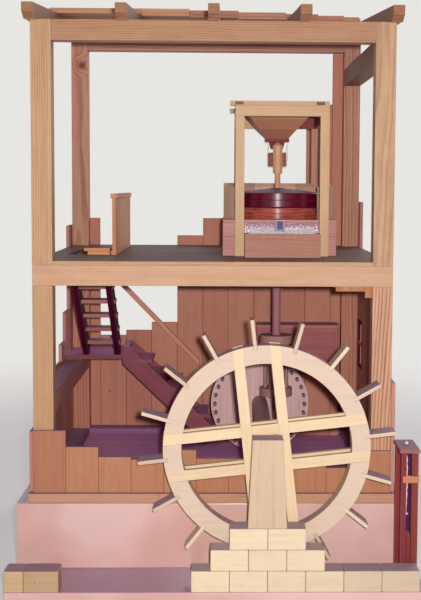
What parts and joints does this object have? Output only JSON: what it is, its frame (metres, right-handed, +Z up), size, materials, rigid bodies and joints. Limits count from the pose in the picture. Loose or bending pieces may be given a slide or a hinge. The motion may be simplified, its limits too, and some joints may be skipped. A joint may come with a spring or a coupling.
{
  "type": "cutaway model watermill",
  "caption": "Wooden tabletop watermill on a board base, cut away to show its wheel, face gear, lantern, millstones, hopper, stairs and sluice.",
  "frame": {"origin": "middle of the underside of the base board", "axes": "+Z up, +X to the right seen from the wheel side, +Y from the wheel side towards the back wall"},
  "size_m": [0.3964, 0.42, 0.6049],
  "materials": {
    "base_paint": "glossy varnish, salmon pink",
    "tan_block": "matte, tan",
    "cream_block": "matte, cream",
    "pine_frame": "satin pine, straight grain",
    "mauve_floor": "satin, mauve stain",
    "roof_board": "satin, light brown",
    "dark_floor": "satin, grey brown stain",
    "rosy_board": "satin, reddish brown",
    "wall_board": "satin, rose brown",
    "front_board": "satin, orange tan",
    "dark_red_wood": "satin, dark red brown",
    "casing_board": "satin, greenish brown",
    "bedstone_wood": "glossy varnish, orange mahogany",
    "yellow_pine": "satin, yellow pine",
    "mahogany": "glossy varnish, dark mahogany",
    "birch_rim": "matte, pale birch",
    "pale_arm": "matte, pale yellow",
    "gear_disc": "matte, pinkish grey"
  },
  "bodies": {
    "house": {"base_board": "base_paint", "plinth": "base_paint", "left_quay": "tan_block", "stepped_pier": "cream_block", "bearing_post": "cream_block", "sill_frame": "pine_frame", "lower_floor": "mauve_floor", "lower_posts": "pine_frame", "cross_floor_beams": "pine_frame", "side_floor_beams": "pine_frame", "upper_posts": "pine_frame", "top_beams": "pine_frame", "right_top_rail": "pine_frame", "rafters": "pine_frame", "roof_boards": "roof_board", "upper_floor": "dark_floor", "left_girt": "pine_frame", "stair_landing": "rosy_board", "upper_flight": "dark_red_wood", "lower_flight": "rosy_board", "handrail": "wall_board", "stair_railing": "wall_board", "front_wall": "front_board", "back_wall": "wall_board", "left_wall": "wall_board", "right_wall": "wall_board", "window_frame": "dark_red_wood", "meal_chest": "rosy_board", "stone_box": "rosy_board", "stone_casing": "casing_board", "bedstone": "bedstone_wood", "hopper_frame": "yellow_pine", "hopper": "rosy_board", "shoe": "bedstone_wood", "inner_bearings": "pine_frame", "sluice_frame": "mahogany"},
    "water_wheel": {"wheel_rim": "birch_rim", "wheel_arms": "pale_arm", "wheel_floats": "pale_arm", "main_shaft": "yellow_pine", "face_gear": "gear_disc", "gear_pegs": "mahogany"},
    "stone_spindle": {"spindle": "yellow_pine", "lantern": "yellow_pine", "runner_stone": "mahogany"},
    "gate": {"sluice_gate": "mahogany"}
  },
  "joints": [
    {"name": "wheel_turn", "type": "hinge", "parent": "house", "child": "water_wheel", "pos_m": [0.04745, -0.181, 0.1479], "axis": [0, 1, 0], "continuous": true},
    {"name": "spindle_turn", "type": "hinge", "parent": "house", "child": "stone_spindle", "pos_m": [0.06505, 0.029, 0.146], "axis": [0, 0, 1], "continuous": true},
    {"name": "gate_lift", "type": "slide", "parent": "house", "child": "gate", "axis": [0, 0, 1], "range_m": [0, 0.045]}
  ],
  "couplings": [
    {"joint": "spindle_turn", "follows": "wheel_turn", "ratio": -4}
  ]
}
